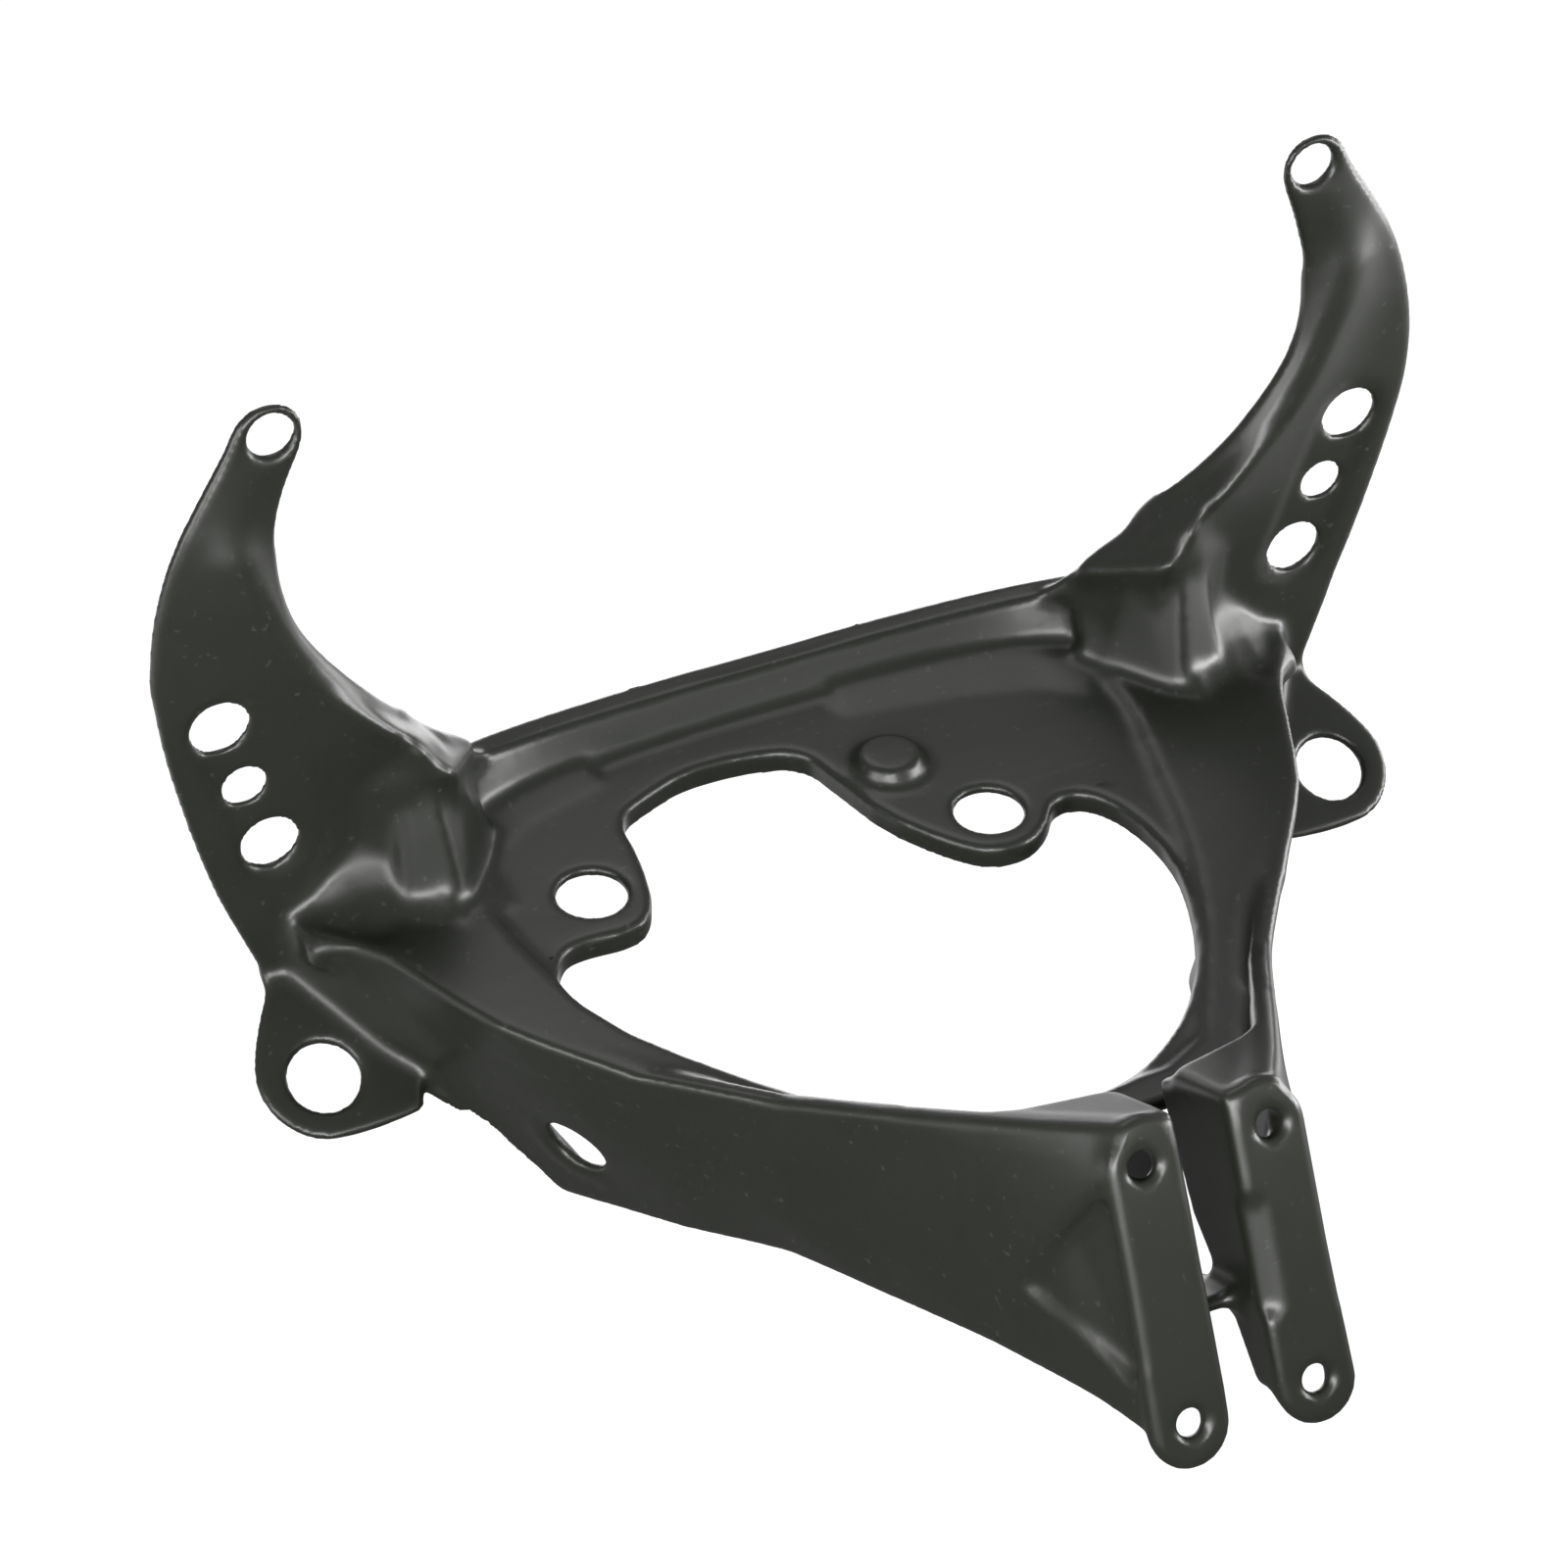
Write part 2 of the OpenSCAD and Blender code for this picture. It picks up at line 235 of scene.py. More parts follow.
def at_height(curve, z):
    """X of the curve at a height, and how far forward of the plain wall it is: each is
    the mean over five heights up to 5 mm away, so the curve has no corners."""
    up = curve[::-1]
    forward = up[:, 1] - wall_y(up[:, 2])
    x = sum(np.interp(z + k, up[:, 2], up[:, 0]) for k in UP_AND_DOWN) / len(UP_AND_DOWN)
    d = sum(np.interp(z + k, up[:, 2], forward) for k in UP_AND_DOWN) / len(UP_AND_DOWN)
    return x, d


print("ridge and its depth 160 mm up:", [round(float(v), 1) for v in at_height(RIDGE, 160.0)])

# %% [markdown]
# The solid's wall is bent to those curves. Points between ridge and inner edge, and
# between ridge and flat, move forward or back by an amount that changes evenly between
# them. Higher up the ridge is soft, so the amount is the mean over a few millimetres
# across. The outer part, with the mirror stay holes, stays where it is.

# %% Folded horns
SIDE_TO_SIDE = (-6, -3, 0, 3, 6)
MIDDLE_OF_WALL = 2


def share(value, start, end):
    """(value - start) / (end - start), held between 0 and 1."""
    return np.clip((value - start) / (end - start), 0, 1)


def horn_fold(points):
    """Forward or backward move of each point of a horn.

    At a height z: d(z) at the ridge, e(z) at the inner edge and 0 where the flat part
    begins, with straight lines between them. The move fades to nothing off the wall, at
    the foot, at the tip and towards the front bar."""
    x, y, z = np.abs(points[:, 0]), points[:, 1], points[:, 2]
    ridge_x, ridge_d = at_height(RIDGE, z)
    edge_x, edge_d = at_height(INNER_EDGE, z)
    flat_x = np.maximum(np.interp(z, FLAT_FROM[:, 0], FLAT_FROM[:, 1]), ridge_x + 4)
    softness = share(z, 138, 168)
    fold = 0
    for k in SIDE_TO_SIDE:
        u = x + k * softness
        outside = ridge_d * share(u, flat_x, ridge_x)
        from_ridge = np.clip((ridge_x - u) / np.maximum(ridge_x - edge_x, 1), 0, 1)
        inside = ridge_d + (edge_d - ridge_d) * from_ridge
        fold = fold + np.where(u > ridge_x, outside, inside) / len(SIDE_TO_SIDE)
    near_wall = share(np.abs(y - wall_y(z) - MIDDLE_OF_WALL), 16, 10)
    high = share(z, 130, 150) * share(z, 238, 212)
    far_out = share(x, 106, 114)
    return fold * near_wall * high * far_out


print("move at the ridge, 160 mm up:", horn_fold(np.array([[134.5, float(wall_y(160.0)), 160.0]])))

# %% [markdown]
# The outer wall of each side arm is one smooth sweep. The exact solid draws it with flat
# triangles between its stations, so each point of the wall moves sideways by the
# difference between those triangles and the same wall averaged over its surroundings.

# %% Smooth arms
# Each row is one station of the outer wall: its top, middle and foot
ARM_ROWS = np.array([
    [[143, 199, 91], [132, 201, 60], [103, 207, 6]],
    [[126, 163, 71], [113, 163, 46], [84, 165, -1]],
    [[100, 133, 56], [89, 133, 33], [66, 133, -6]],
    [[76, 100, 48.5], [68, 100, 28], [53, 100, -15]],
    [[58, 66, 47], [53, 66, 28], [42, 66, -22]],
    [[38, 28, 46.5], [38, 28, 30], [31.5, 28, -31]],
    [[25, 6, 46.5], [29.3, 6, 32], [28, 6, -37]],
], float)
ARM_TRIANGLES = [
    corners
    for a, b in zip(ARM_ROWS[:-1], ARM_ROWS[1:])
    for j in (0, 1)
    for corners in ((a[j], a[j + 1], b[j + 1]), (a[j], b[j + 1], b[j]))
]
# The wall's middle lies this far inside its outer face, points this near to the middle
# belong to the wall, and neighbours count less with distance over this length
HALF_WALL = 2.5
WALL_REACH = 7
SPREAD = 9.0


def flat_wall_x(y, z):
    """X of the arm's outer wall at (y, z): p + s (q - p) + t (r - p) on the triangle
    p, q, r round it, with s and t solved from Y and Z, and not a number off the wall."""
    x = np.full(y.shape, np.nan)
    for p, q, r in ARM_TRIANGLES:
        det = (q[1] - p[1]) * (r[2] - p[2]) - (r[1] - p[1]) * (q[2] - p[2])
        s = ((y - p[1]) * (r[2] - p[2]) - (r[1] - p[1]) * (z - p[2])) / det
        t = ((q[1] - p[1]) * (z - p[2]) - (y - p[1]) * (q[2] - p[2])) / det
        within = (s >= -1e-6) & (t >= -1e-6) & (s + t <= 1 + 1e-6)
        x = np.where(within, p[0] + s * (q[0] - p[0]) + t * (r[0] - p[0]), x)
    return x


def arm_sweep(points):
    """Sideways move that turns the arm's flats into one sweep.

    The mean over pairs of opposite neighbours of (x(p + d) + x(p - d)) / 2 - x(p), with
    weights exp(-|d|^2 / 2 s^2), s = 9 mm, over the pairs that both lie on the wall."""
    x, y, z = np.abs(points[:, 0]), points[:, 1], points[:, 2]
    here = flat_wall_x(y, z)
    on = np.isfinite(here) & (np.abs(x - here + HALF_WALL) < WALL_REACH)
    y, z, here = y[on], z[on], here[on]
    total, weight = np.zeros(len(y)), np.ones(len(y))
    for dy in range(-20, 21, 5):
        for dz in range(0, 21, 5):
            if dz == 0 and dy <= 0:
                continue
            pair = (flat_wall_x(y + dy, z + dz) + flat_wall_x(y - dy, z - dz)) / 2 - here
            w = math.exp(-(dy * dy + dz * dz) / (2 * SPREAD**2)) * np.isfinite(pair)
            total += w * np.nan_to_num(pair) * 2
            weight += w * 2
    move = np.zeros(len(points))
    move[on] = total / weight
    return move * np.sign(points[:, 0])


bent = even[0].copy()
bent[:, 1] += horn_fold(bent)
sweep = arm_sweep(bent)
bent[:, 0] += sweep
print("arm moves up to", round(float(np.abs(sweep).max()), 2), "mm")

# %% [markdown]
# Some walls of the exact solid are thinner or end sooner than on the real casting. The
# first of the extra bodies is a flange: the part of the horn between its ridge and its
# inner edge, which turns away to the front. It is a strip carried along both curves.

# %% Flange of a horn
FLANGE_BEHIND = 0.4
FLANGE_FRONT = 4.4


def flange():
    """The inner part of the horn, four millimetres thick: from 0.35 of the way between
    ridge and inner edge to just past the edge, set off along the wall's own normal."""
    loops = []
    for z in np.linspace(136, 212, 30):
        ridge_x, ridge_d = at_height(RIDGE, z)
        edge_x, edge_d = at_height(INNER_EDGE, z)
        a = np.array([ridge_x, wall_y(z) + ridge_d])
        b = np.array([edge_x, wall_y(z) + edge_d])
        across = np.array([b[1] - a[1], a[0] - b[0]]) / np.linalg.norm(b - a)
        a, b = a + 0.35 * (b - a) + FLANGE_BEHIND * across, b + 0.04 * (b - a)
        rear, front = b + FLANGE_BEHIND * across, b + FLANGE_FRONT * across
        loops.append([(*a, z), (*rear, z), (*front, z), (*(a + FLANGE_FRONT * across), z)])
    return skinned(loops)


print("flange:", len(flange()[0]), "points")

# %% [markdown]
# The horn grows out of the frame over a root. Under the horn the root has a nose, with
# the end of the ridge and the bright facet beside it, and next to the nose a wall that
# crosses the hollow to the arm. Both are given by their sections, like ribs of a boat.

# %% Root of a horn


def root_side():
    """Upright sections across the hollow between horn wall and arm, from the nose outward."""
    sections = [
        (118, (200, 88), (204, 96), (206.5, 106), (206.5, 115), (205, 122)),
        (126, (201, 88), (206, 96), (210.5, 105), (211.5, 114), (210, 122)),
        (134, (202, 88), (208, 96), (213.5, 104), (215.5, 112), (214.8, 120)),
        (142, (203, 89), (211, 96), (217, 103), (219.5, 110), (219.2, 116)),
        (150, (209, 91), (217, 96), (221.5, 101), (223.5, 106), (223.8, 110)),
        (157, (216, 92), (220, 96), (224, 100), (226, 104), (226.5, 107)),
    ]
    back = ((227, 112), (232, 104), (234, 92), (216, 86))
    return skinned([[(x, y, z) for y, z in (*front, *back)] for x, *front in sections])


def nose():
    """Horizontal loops up the root of the right horn: ridge, valley, wall, back, bar side."""
    stations = [
        (84, (112.8, 207), (113.4, 206), (130, 217), (118, 228), (97, 230)),
        (93, (111.8, 207.5), (116.7, 201.2), (130, 217), (118, 228), (97, 230)),
        (99.4, (110.7, 208), (118.9, 204.6), (132, 222), (118, 232), (95, 230)),
        (110.6, (109.2, 208.6), (121.1, 207.4), (134, 219), (118, 236), (94, 229)),
        (118.4, (108.1, 208.6), (122.6, 205.8), (134, 214), (114, 240), (95, 231)),
        (125.6, (109.3, 203.8), (123, 202.5), (134, 210), (110, 243), (96, 229)),
        (133.7, (111.5, 195.4), (123.5, 198.5), (134, 205), (106, 226), (95, 223.5)),
        (140, (117.5, 195.5), (124.5, 197), (134, 203), (120, 209), (107.5, 217)),
        (147, (124.5, 192), (128, 193.5), (134, 199), (128, 202), (119, 208.5)),
    ]
    return skinned([[(x, y, z) for x, y in loop] for z, *loop in stations])


print("root:", len(root_side()[0]), "points, nose:", len(nose()[0]), "points")

# %% [markdown]
# Where the arm leaves the frame its wall is thin in the solid, and bending it could open
# it. Two linings lie behind it, one at the top and one at the foot, and leave the side
# hole between them free.

# %% Linings of an arm
LINING = [-4.5, 1, 1.2]


def lining(pairs):
    """A plate behind the wall: each pair of points on it, and both moved inward by LINING."""
    return skinned([[a, b, b + LINING, a + LINING] for a, b in pairs])


def arm_lining():
    """From the arm's top to 0.55 of the way to its middle, along the first three stations."""
    pairs = []
    for top, middle, _ in ARM_ROWS[:3]:
        low = top + 0.55 * (middle - top)
        pairs.append((top + [-1.2, 0.2, -0.4], low + [-0.8, 0.2, 0.3]))
    return lining(pairs)


def foot_lining():
    """From a quarter below the arm's middle to its foot, between the ear and the side hole."""
    pairs = []
    for f in (-0.06, 0.14, 0.32):
        _, middle, foot = ARM_ROWS[0] + f * (ARM_ROWS[1] - ARM_ROWS[0])
        pairs.append((middle + 0.25 * (foot - middle) + [-0.8, 0, 0], foot + [-0.2, 0, 1]))
    return lining(pairs)


print("linings:", len(arm_lining()[0]), "and", len(foot_lining()[0]), "points")

# %% [markdown]
# The front bar is a curved wall whose top isn't level: it rises towards the far side, so
# that from the rear it shows as a bright strip, and it dips a little where the two halves
# of the mould met. A band carried along the bar's inner face gives both.

# %% Top of the front bar
BAR_END = 99


def front_y(x):
    """Inner face of the front wall: 248.5 - 7 s^2 - 8 s^6 with s = x / 99."""
    s = x / BAR_END
    return 248.5 - 7 * s**2 - 8 * s**6


def wave(x):
    """A dip of 0.9 mm from X = -12 to X = 26: 0.9 (f(x + 12) - f(x - 26)), where f(t) is
    1 / (1 + exp(t / 2.5)), which makes both ends soft."""
    return 0.9 * (1 / (1 + np.exp((x + 12) / 2.5)) - 1 / (1 + np.exp((x - 26) / 2.5)))


def bar_top():
    """A band along the bar's top that rises five millimetres from its inner to its far edge."""
    loops = []
    for x in np.linspace(-BAR_END, BAR_END, 45):
        y, lift = front_y(x), wave(x)
        loops.append([
            (x, y - 0.4, 118 + lift), (x, y - 0.4, 126.3 + lift), (x, y + 1.5, 127.6 + lift),
            (x, y + 7.6, 131.2), (x, y + 8, 129), (x, y + 7.5, 122), (x, y + 3, 118),
        ])
    return skinned(loops)


print("bar top:", len(bar_top()[0]), "points")

# %% [markdown]
# Between the rim of the ring frame and the lower shelf the metal runs down in a slope. It
# is a wedge that follows the rim's inner edge, one on each side of the boss.

# %% Slope of the shelf
SHELF_SLOPE = math.radians(28)
RIM_Y, RIM_Z = 224, 104
LOWER_SHELF = -2.5


def on_shelf(x, y, above):
    """The point at (x, y) in plan, above the rim plane along the plane's normal."""
    z = RIM_Z + (y - RIM_Y) * math.tan(SHELF_SLOPE)
    return (x, y - above * math.sin(SHELF_SLOPE), z + above * math.cos(SHELF_SLOPE))


def slope(edge, depth):
    """A wedge along the rim's inner edge: level with the rim at the edge, down on the
    shelf a certain depth inside it. Inward is the edge's direction turned by 90 degrees."""
    edge = np.asarray(edge, float)
    along = np.gradient(edge, axis=0)
    inward = np.stack([-along[:, 1], along[:, 0]], 1) / np.linalg.norm(along, axis=1)[:, None]
    top, toe, base = -0.1, LOWER_SHELF - 0.2, LOWER_SHELF - 2
    loops = []
    for (x, y), (u, v) in zip(edge, inward):
        a, b = (x - 2 * u, y - 2 * v), (x + depth * u, y + depth * v)
        upper = [on_shelf(*a, top), on_shelf(x, y, top), on_shelf(*b, toe)]
        loops.append([*upper, on_shelf(*b, base), on_shelf(*a, base)])
    return skinned(loops)


right_slope = slope([(97, 226), (90, 232), (82, 237), (60, 243), (40, 246), (22, 248)], 13)
left_slope = slope([(-58, 245), (-72, 242), (-86, 238), (-98, 231), (-106, 219), (-107, 205)], 9)
print("slopes:", len(right_slope[0]), "and", len(left_slope[0]), "points")

# %% [markdown]
# The bracket is the same on both sides apart from the slopes, so the bodies of one side
# are drawn once and mirrored.

# %% All extra metal
one_side = [nose(), root_side(), flange(), arm_lining(), foot_lining()]
extra = one_side + [mirrored(body) for body in one_side] + [bar_top(), right_slope, left_slope]
for body in extra:
    print("body of", len(body[1]), "faces", body[0].min(0).round(1), body[0].max(0).round(1))

# %% [markdown]
# A casting has no sharp edges: metal poured in a mould fills every inside corner with a
# round, and the outer edges are broken so that the coating holds. The surface a few
# millimetres outside the solid is taken, and the one as far inside that again: this fills
# inside corners with a round of that size and leaves flats and holes where they were.
# The second field is softened first, which breaks the outer edges.

# %% Rounds of a casting
FILLET = 3.0
SOFT_ROUNDS = 3
rough = joined([(bent, even[1])] + extra)
rough = joined([surface_at(rough, FILLET, FILLET)])
co, quads = surface_at(rough, -FILLET, FILLET, SOFT_ROUNDS)
print("rounded:", len(co), "points,", len(quads), "quads", co.min(0).round(1), co.max(0).round(1))

# %% [markdown]
# Averaging takes out the small steps of the grid: each point moves part of the way to the
# middle of its neighbours and then part of the way back, so walls keep their thickness.
# The horn roots, where walls meet at all angles, get more of it.

# %% Even out the surface
# The middle of the right horn's root, in millimetres
ROOT = [120, 205, 128]


def edges_of(quads):
    """Every edge of the faces once, as two point numbers, the lower one first."""
    pairs = [quads[:, [0, 1]], quads[:, [1, 2]], quads[:, [2, 3]], quads[:, [3, 0]]]
    return np.unique(np.sort(np.vstack(pairs), axis=1), axis=0)


def averaged(co, edges, rounds, forward=0.5, back=-0.52):
    """p + k (m - p) for each point p with m the mean of its neighbours, k forward then back."""
    n = len(co)
    count = np.bincount(edges.ravel(), minlength=n)[:, None]
    for _ in range(rounds):
        for k in (forward, back):
            total = np.zeros_like(co)
            for axis in range(3):
                total[:, axis] = np.bincount(edges[:, 0], co[edges[:, 1], axis], n)
                total[:, axis] += np.bincount(edges[:, 1], co[edges[:, 0], axis], n)
            co = co + k * (total / count - co)
    return co


edges = edges_of(quads)
co = averaged(co, edges, 6)
right_side = np.abs(co) * [1, 1, 0] + co * [0, 0, 1]
out_from_root = np.linalg.norm(right_side - ROOT, axis=1)
polish = share(out_from_root, 44, 30) * share(right_side[:, 0], 147, 139)
co += polish[:, None] * (averaged(co, edges, 22, 0.5, -0.44) - co)
low, high = [np.array(v) / MM for v in size_before]
co = np.clip(co, low, high)
print("evened out:", len(edges), "edges,", int((polish > 0).sum()), "points polished")

# %% [markdown]
# The arrays become a mesh in one step each. A grid surface has far more faces than flat
# walls need, so they are thinned where the shape allows it, and shaded smooth.

# %% Mesh of the casting
TRIANGLES = 190000
cast_me = bpy.data.meshes.new("cast_body")
cast_me.vertices.add(len(co))
cast_me.vertices.foreach_set("co", (co * MM).astype(np.float32).ravel())
cast_me.loops.add(quads.size)
cast_me.loops.foreach_set("vertex_index", quads.astype(np.int32).ravel())
cast_me.polygons.add(len(quads))
cast_me.polygons.foreach_set("loop_start", np.arange(0, quads.size, 4, dtype=np.int32))
cast_me.update(calc_edges=True)
cast_me.validate()
cast_me.shade_smooth()
casting = bpy.data.objects.new("cast_body", cast_me)
bpy.context.scene.collection.objects.link(casting)
if 2 * len(quads) > TRIANGLES:
    lighter = casting.modifiers.new("lighter", "DECIMATE")
    lighter.ratio = TRIANGLES / (2 * len(quads))
    deps = bpy.context.evaluated_depsgraph_get()
    casting.data = bpy.data.meshes.new_from_object(casting.evaluated_get(deps))
    casting.modifiers.clear()
    casting.data.shade_smooth()
print("casting:", len(casting.data.vertices), "points,", len(casting.data.polygons), "faces")

# %% [markdown]
# A pattern in a material is arithmetic on sockets. Wired by hand it takes a node for
# each sign. A small class round a socket lets it be written as plain sums instead, and a
# second one makes any other node in one line.

# %% Shader arithmetic


class Sock:
    """One socket of a material. Arithmetic on it adds Math nodes."""

    def __init__(self, mat, out):
        self.mat, self.out = mat, out

    def _math(self, op, *args):
        return self.mat.node("ShaderNodeMath", {"operation": op}, list(args))

    def __add__(self, o):
        return self._math("ADD", self, o)

    def __radd__(self, o):
        return self._math("ADD", o, self)

    def __sub__(self, o):
        return self._math("SUBTRACT", self, o)

    def __rsub__(self, o):
        return self._math("SUBTRACT", o, self)

    def __mul__(self, o):
        return self._math("MULTIPLY", self, o)

    def __rmul__(self, o):
        return self._math("MULTIPLY", o, self)

    def __truediv__(self, o):
        return self._math("DIVIDE", self, o)

    def clipped(self):
        """The value held between 0 and 1."""
        return self.mat.node("ShaderNodeClamp", {}, [self])


class Paint:
    """A material built node by node."""

    def __init__(self, name):
        self.m = bpy.data.materials.new(name)
        self.m.use_nodes = True
        self.tree = self.m.node_tree
        self.tree.nodes.clear()

    def node(self, kind, settings=None, inputs=(), output=0):
        """A new node: its settings first, then a value or a link for each socket named."""
        n = self.tree.nodes.new(kind)
        for key, value in (settings or {}).items():
            setattr(n, key, value)
        pairs = inputs.items() if isinstance(inputs, dict) else enumerate(inputs)
        for key, value in pairs:
            if isinstance(value, Sock):
                self.tree.links.new(value.out, n.inputs[key])
            elif value is not None:
                n.inputs[key].default_value = value
        return Sock(self, n.outputs[output]) if len(n.outputs) else None

    def noise(self, place, scale, detail=2.0, roughness=0.5):
        """A cloudy pattern from 0 to 1 with about this many clouds to the metre."""
        inputs = {"Vector": place, "Scale": scale, "Detail": detail, "Roughness": roughness}
        return self.node("ShaderNodeTexNoise", {}, inputs)

    def mix(self, factor, a, b):
        """Colour a where the factor is 0, colour b where it is 1."""
        return self.node("ShaderNodeMix", {"data_type": "RGBA"}, {0: factor, 6: a, 7: b}, 2)


# %% [markdown]
# The coating is a satin black with a little grey-green in it. Its own tone is very dark:
# what is seen of it is mostly the white room in its satin surface. Wide clouds change
# tone and dullness a little from place to place, a fine grain gives the orange-peel skin
# of a sprayed coat, and a few paler flecks are dust and small scuffs.

# %% Satin black coating
coat = Paint("satin_black_coating")
place = coat.node("ShaderNodeTexCoord", output=3)
cloud = coat.noise(place, 38.0, 3.0)
grain = coat.noise(place, 900.0, 2.0, 0.6)
fleck = coat.noise(place, 420.0, 1.0)
speck = ((fleck - 0.69) * 14.0).clipped()
tone = coat.mix(cloud, (0.0090, 0.0105, 0.0075, 1), (0.0120, 0.0135, 0.0100, 1))
tone = coat.mix(speck * 0.25, tone, (0.07, 0.07, 0.065, 1))
dullness = 0.31 + cloud * 0.07 + (grain - 0.5) * 0.05
height = grain * 0.7 + cloud * 0.3
bump = coat.node("ShaderNodeBump", {}, {"Strength": 0.08, "Distance": 0.0002, "Height": height})
finish = {
    "Base Color": tone,
    "Roughness": dullness,
    "Normal": bump,
    "Metallic": 0.0,
    "Specular IOR Level": 0.5,
}
shader = coat.node("ShaderNodeBsdfPrincipled", {}, finish)
coat.node("ShaderNodeOutputMaterial", {}, [shader])
for o in (casting, solid):
    o.data.materials.clear()
    o.data.materials.append(coat.m)
print("material nodes", len(coat.tree.nodes))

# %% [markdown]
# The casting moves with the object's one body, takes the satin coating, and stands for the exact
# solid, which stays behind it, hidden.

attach(casting, "root")
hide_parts("bracket_casting")
print(casting.name, "rides on root")

# %% [markdown]
# The photograph is a catalogue picture on white, seen from behind the lugs, from the
# left and above, with the camera tipped a little. The lens and place below come from
# mirrored pairs of holes in it.

# %% Camera
cam_data = bpy.data.cameras.new("catalogue_camera")
cam_data.lens = 114.65
cam_data.sensor_width = 36
cam_data.clip_start, cam_data.clip_end = 0.05, 60
camera = bpy.data.objects.new("catalogue_camera", cam_data)
bpy.context.scene.collection.objects.link(camera)
right = Vector((0.9010, -0.3882, -0.1937)).normalized()
up = Vector((0.2669, 0.1439, 0.9529)).normalized()
back = right.cross(up).normalized()
up = back.cross(right)
turn = Matrix((right, up, back)).transposed()
camera.matrix_world = Matrix.Translation((-0.4967, -1.0782, 0.4311)) @ turn.to_4x4()
bpy.context.scene.camera = camera
print("camera looks along", [round(-c, 3) for c in back])

# %% [markdown]
# The picture's ground is white paper without a clear shadow. The floor is a plain pale
# sheet that also glows for the camera, so it looks white and still keeps a faint shadow.
# What the coating mirrors of it is an emission with painted shade: darker near the object, standing
# in for the object's shade on the paper, and white farther away.

# %% Floor
HALF_FLOOR = 20.0
FLOOR_Z = -0.0485
# Metres from the object's middle to where the painted shade on the mirrored paper starts to
# brighten, and the width of the change
SHADED, SHADE_WIDTH = 0.28, 0.35
floor_me = bpy.data.meshes.new("floor")
corners = [(-1, -1), (1, -1), (1, 1), (-1, 1)]
floor_me.from_pydata([(HALF_FLOOR * x, HALF_FLOOR * y, 0) for x, y in corners], [], [(0, 1, 2, 3)])
floor = bpy.data.objects.new("floor", floor_me)
floor.location = (0, 0, FLOOR_Z)
bpy.context.scene.collection.objects.link(floor)
paper = Paint("white_paper")
to_camera = paper.node("ShaderNodeLightPath", output=0)
to_gloss = paper.node("ShaderNodeLightPath", output=3)
spot = paper.node("ShaderNodeTexCoord", output=3)
away = paper.node("ShaderNodeVectorMath", {"operation": "DISTANCE"}, {0: spot, 1: (0, 0.12, 0)}, 1)
far = ((away - SHADED) / SHADE_WIDTH).clipped()
# painted shade: the paper that the coating mirrors is dark near the object and bright farther off
paper_painted_shade = paper.mix(far, (0.18, 0.18, 0.18, 1), (1.3, 1.3, 1.3, 1))
matt = paper.node("ShaderNodeBsdfDiffuse", {}, {"Color": (0.9, 0.9, 0.9, 1)})
glow = paper.node("ShaderNodeEmission", {}, {"Color": (1, 1, 1, 1), "Strength": 1.2})
# painted shade: an emission in that colour, seen only in the coating's reflections
painted_shade_emission = paper.node("ShaderNodeEmission", {}, {"Color": paper_painted_shade, "Strength": 1.0})
seen = paper.node("ShaderNodeMixShader", {}, [to_camera * 0.8, matt, glow])
shown = paper.node("ShaderNodeMixShader", {}, [to_gloss, seen, painted_shade_emission])
paper.node("ShaderNodeOutputMaterial", {}, [shown])
floor_me.materials.append(paper.m)
print("floor", 2 * HALF_FLOOR, "m wide, at", FLOOR_Z, "m")

# %% [markdown]
# Round the floor the world is white too. It is full white to the camera, and weaker as a
# light, so that the coating stays black and the lamps can shape it.

# %% White room
MATT_LEVEL = 0.4
MIRROR_LEVEL = 0.36


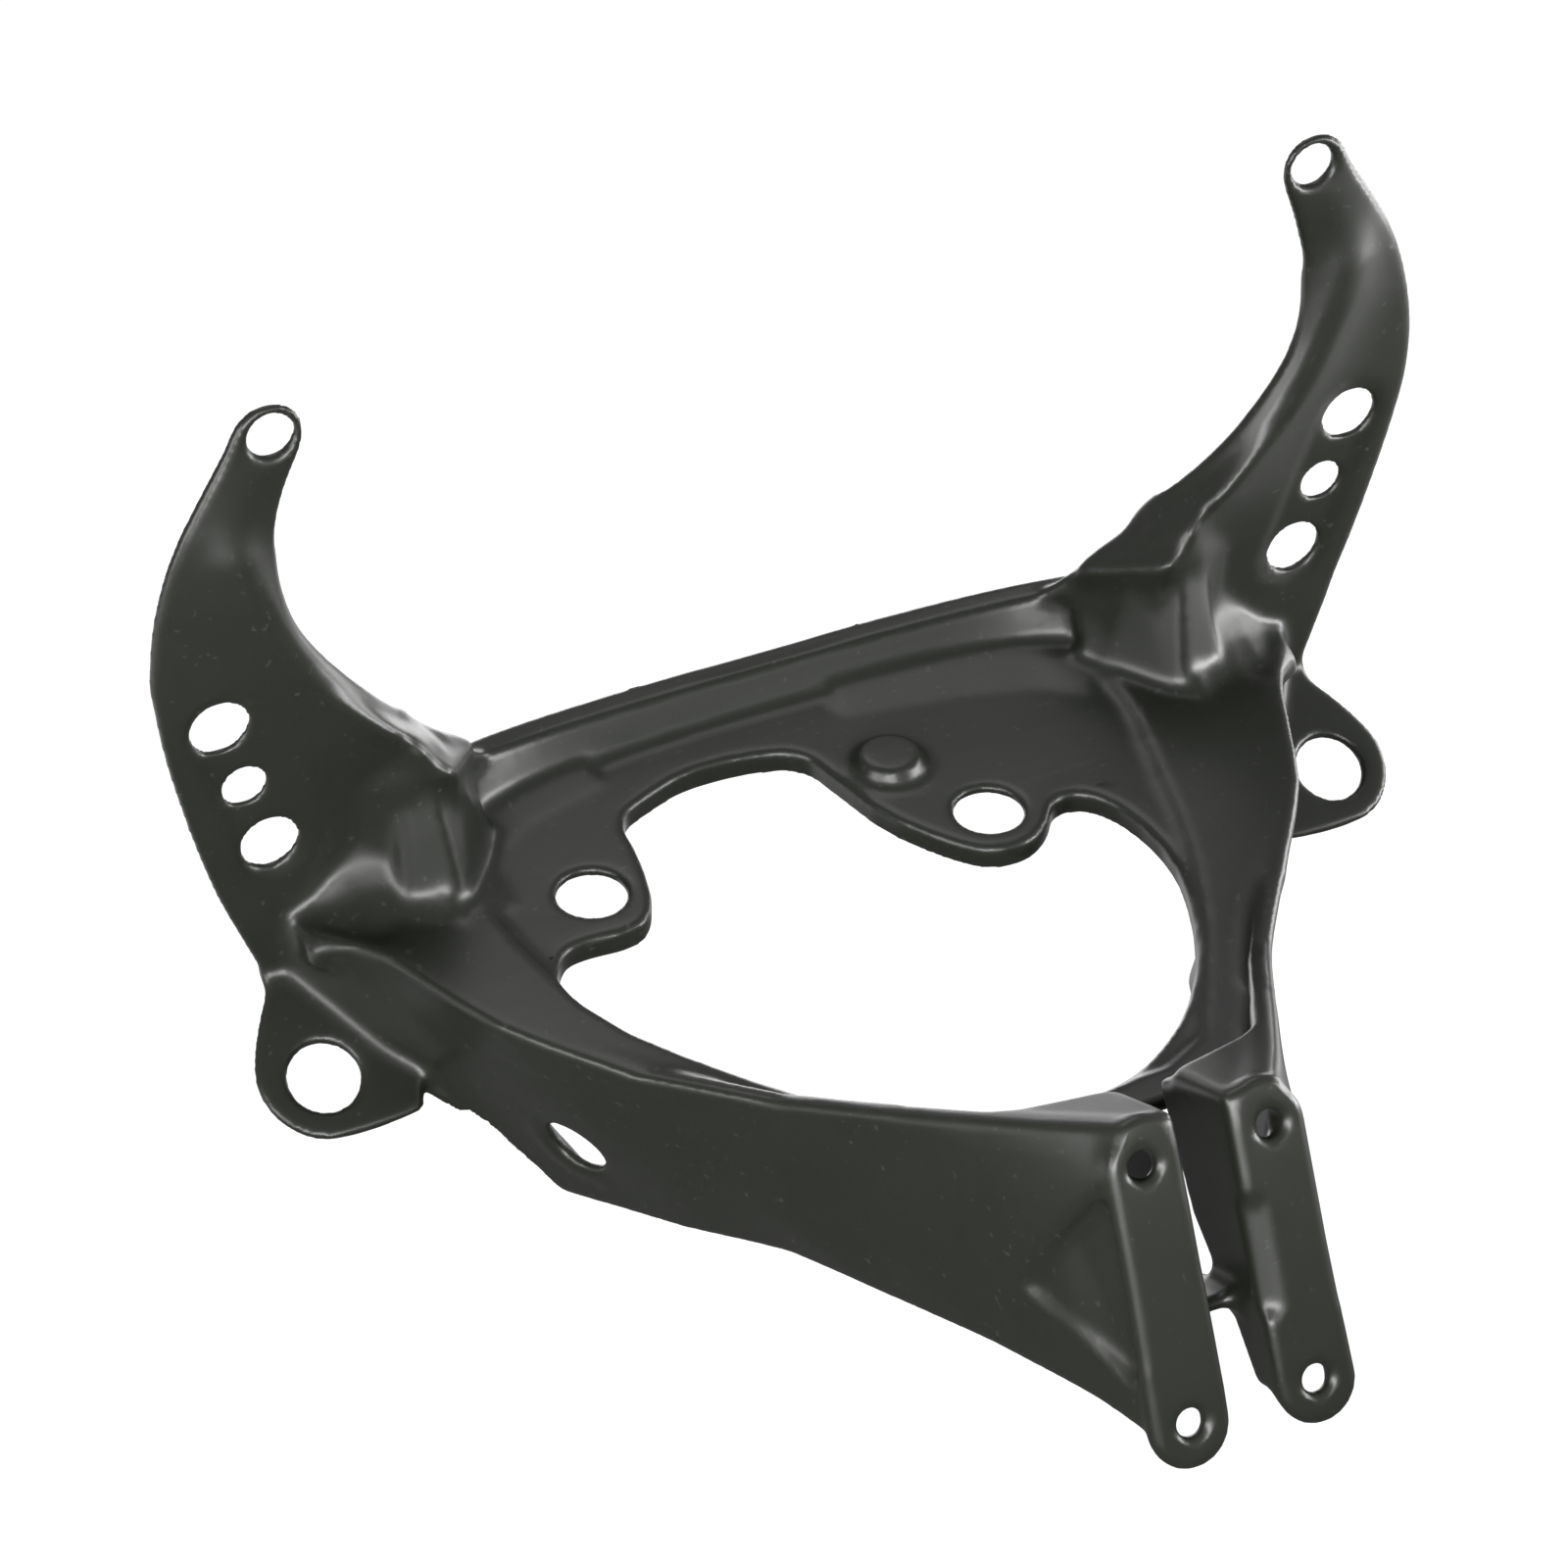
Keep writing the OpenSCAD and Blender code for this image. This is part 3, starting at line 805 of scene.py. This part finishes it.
def white_room(diffuse, mirror):
    """A white world with the strength: diffuse + (1 - diffuse) on the rays of the camera
    + (mirror - diffuse) on the rays of shiny surfaces."""
    world = bpy.data.worlds.new("white_room")
    bpy.context.scene.world = world
    world.use_nodes = True
    tree = world.node_tree
    tree.nodes.clear()
    path = tree.nodes.new("ShaderNodeLightPath")
    level = diffuse
    for output, more in (("Is Camera Ray", 1.0 - diffuse), ("Is Glossy Ray", mirror - diffuse)):
        step = tree.nodes.new("ShaderNodeMath")
        step.operation = "MULTIPLY_ADD"
        step.inputs[1].default_value = more
        tree.links.new(path.outputs[output], step.inputs[0])
        if isinstance(level, float):
            step.inputs[2].default_value = level
        else:
            tree.links.new(level, step.inputs[2])
        level = step.outputs[0]
    sky = tree.nodes.new("ShaderNodeBackground")
    sky.inputs[0].default_value = (1, 1, 1, 1)
    tree.links.new(level, sky.inputs[1])
    out = tree.nodes.new("ShaderNodeOutputWorld")
    tree.links.new(sky.outputs[0], out.inputs[0])


white_room(MATT_LEVEL, MIRROR_LEVEL)
print("world nodes", len(bpy.context.scene.world.node_tree.nodes))

# %% [markdown]
# Soft panels draw the forms of a black object: one above, one on each side, and a large
# one on the far side for the upper edges and the top strip of the bar. Two low ones just
# over the floor, to the left and right of the lugs, light the facets of the horn roots.

# %% Lamps


def panel(name, at, look, width, height, power):
    """A soft rectangular lamp at a place, turned to face another place."""
    lamp = bpy.data.lights.new(name, "AREA")
    lamp.shape = "RECTANGLE"
    lamp.size, lamp.size_y, lamp.energy = width, height, power
    o = bpy.data.objects.new(name, lamp)
    o.location = at
    o.rotation_euler = (Vector(look) - Vector(at)).to_track_quat("-Z", "Y").to_euler()
    bpy.context.scene.collection.objects.link(o)
    return o


middle = (0, 0.12, 0.1)
panel("top_panel", (0.1, 0.3, 1.6), middle, 1.2, 0.9, 5)
panel("low_left_panel", (-0.29, -0.40, -0.035), (-0.12, 0.2, 0.11), 0.5, 0.25, 8)
panel("low_right_panel", (0.64, -0.13, -0.035), (0.12, 0.2, 0.11), 0.5, 0.25, 8)
panel("left_panel", (-1.0, -0.3, 0.2), middle, 0.6, 0.4, 6)
panel("right_panel", (1.1, 0.3, 0.2), middle, 0.7, 0.4, 6)
panel("front_panel", (0.6, 1.9, 0.5), middle, 1.6, 0.8, 14)
bpy.context.scene.view_settings.view_transform = "Standard"
